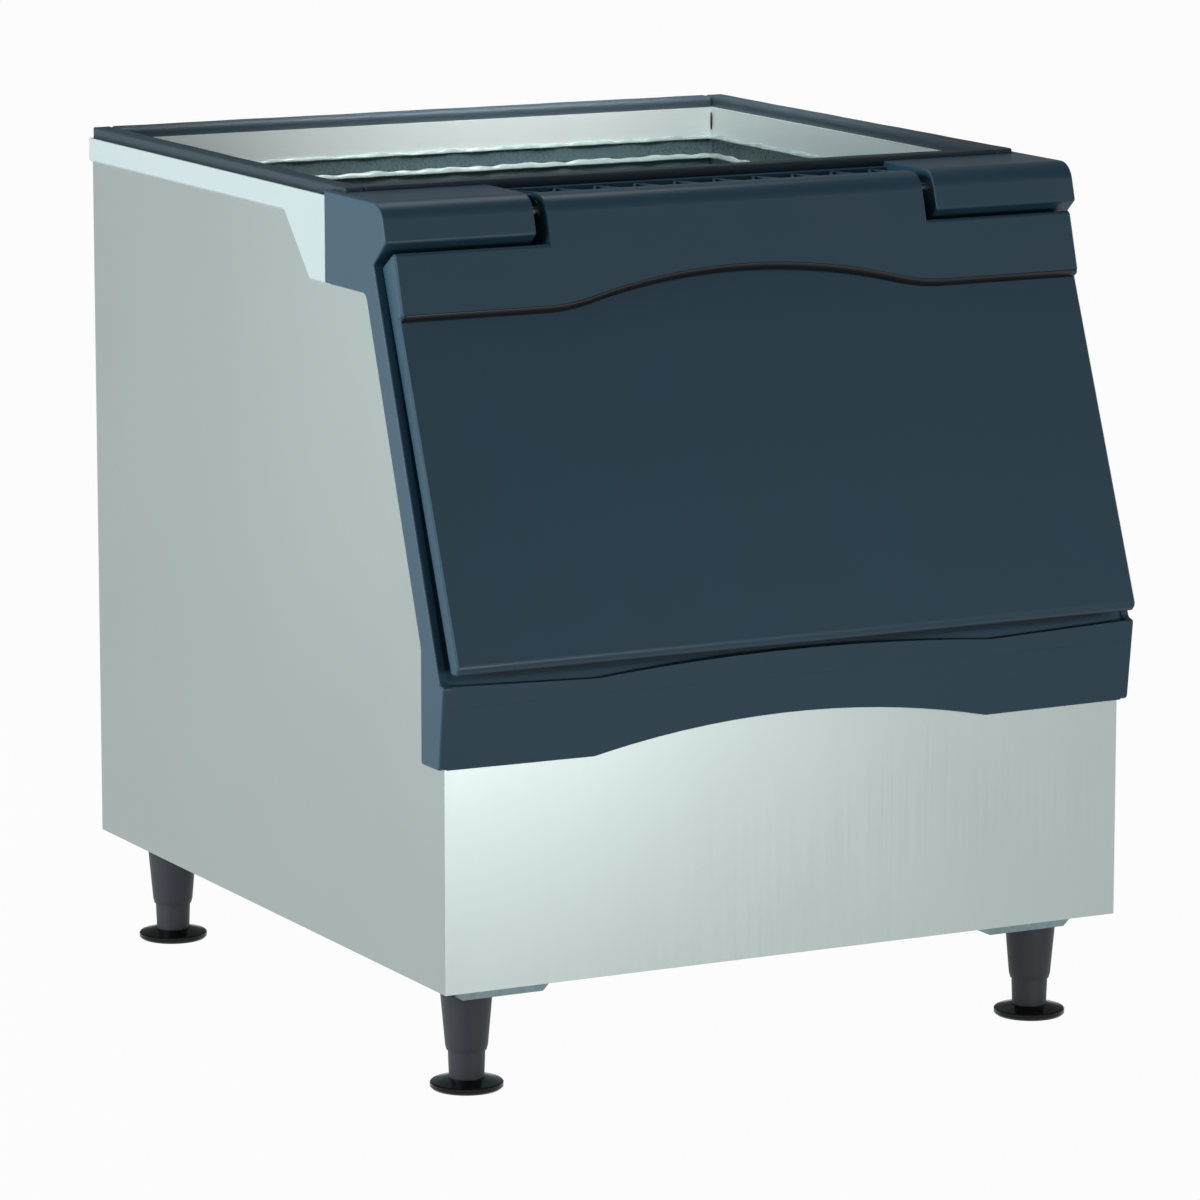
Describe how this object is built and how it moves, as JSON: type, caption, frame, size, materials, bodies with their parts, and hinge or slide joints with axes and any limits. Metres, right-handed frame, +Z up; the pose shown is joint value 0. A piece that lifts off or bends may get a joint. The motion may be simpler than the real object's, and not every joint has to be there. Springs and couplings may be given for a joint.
{
  "type": "ice storage bin",
  "caption": "Insulated ice storage bin on four adjustable legs, open at the top behind a foam gasket, with a sloped lift-up door with a raised wave-edged head in a moulded frame.",
  "frame": {"origin": "on the floor under the middle of the bin's overall width and depth, with its feet screwed in", "axes": "+Z up, +X to the right as seen from the front, +Y from the door towards the back"},
  "size_m": [0.78, 0.8831, 0.88],
  "materials": {
    "stainless_panel": "fine grained stainless sheet",
    "galvanised": "galvanised pressed steel",
    "foam": "rigid polyurethane foam, hidden",
    "liner_plastic": "thermoformed, light gloss",
    "stainless_bright": "bright stainless sheet",
    "sealant": "cured clear sealant",
    "band_white": "semi-gloss white paint",
    "foam_rubber": "closed-cell foam rubber",
    "slate_plastic": "moulded, fine satin grain",
    "pin_steel": "bright steel",
    "bush_nylon": "black nylon",
    "drain_plastic": "white moulded plastic",
    "leg_plastic": "moulded, fine satin grain",
    "foot_black": "glossy moulded"
  },
  "bodies": {
    "cabinet": {"back_panel": "stainless_panel", "baffle_thumbscrews": "pin_steel", "band_back": "band_white", "band_left": "band_white", "band_right": "band_white", "base_pan": "galvanised", "drain_fitting": "drain_plastic", "drain_locknut": "drain_plastic", "front_frame": "slate_plastic", "front_panel": "stainless_panel", "gasket_back": "foam_rubber", "gasket_front": "foam_rubber", "gasket_left": "foam_rubber", "gasket_right": "foam_rubber", "hinge_pin_left": "pin_steel", "hinge_pin_right": "pin_steel", "ice_baffle": "stainless_bright", "insulation": "foam", "leg_bracket_fl": "galvanised", "leg_bracket_fr": "galvanised", "leg_bracket_rl": "galvanised", "leg_bracket_rr": "galvanised", "leg_fl": "leg_plastic", "leg_fr": "leg_plastic", "leg_rl": "leg_plastic", "leg_rr": "leg_plastic", "leg_stud_fl": "pin_steel", "leg_stud_fr": "pin_steel", "leg_stud_rl": "pin_steel", "leg_stud_rr": "pin_steel", "liner": "liner_plastic", "sealant_bead": "sealant", "side_panel_left": "stainless_panel", "side_panel_right": "stainless_panel", "top_collar": "stainless_bright"},
    "door": {"door_shell": "slate_plastic", "door_insulation": "foam", "door_liner": "liner_plastic", "door_seal": "foam_rubber", "hinge_bush_left": "bush_nylon", "hinge_bush_right": "bush_nylon"},
    "foot_fl": {"foot_stem_fl": "leg_plastic", "foot_disc_fl": "foot_black"},
    "foot_fr": {"foot_stem_fr": "leg_plastic", "foot_disc_fr": "foot_black"},
    "foot_rl": {"foot_stem_rl": "leg_plastic", "foot_disc_rl": "foot_black"},
    "foot_rr": {"foot_stem_rr": "leg_plastic", "foot_disc_rr": "foot_black"}
  },
  "joints": [
    {"name": "door_hinge", "type": "hinge", "parent": "cabinet", "child": "door", "pos_m": [0, -0.27475, 0.856], "axis": [-1, 0, 0], "range_deg": [0, 105]},
    {"name": "foot_fl_screw", "type": "slide", "parent": "cabinet", "child": "foot_fl", "axis": [0, 0, -1], "range_m": [0, 0.025]},
    {"name": "foot_fr_screw", "type": "slide", "parent": "cabinet", "child": "foot_fr", "axis": [0, 0, -1], "range_m": [0, 0.025]},
    {"name": "foot_rl_screw", "type": "slide", "parent": "cabinet", "child": "foot_rl", "axis": [0, 0, -1], "range_m": [0, 0.025]},
    {"name": "foot_rr_screw", "type": "slide", "parent": "cabinet", "child": "foot_rr", "axis": [0, 0, -1], "range_m": [0, 0.025]}
  ]
}
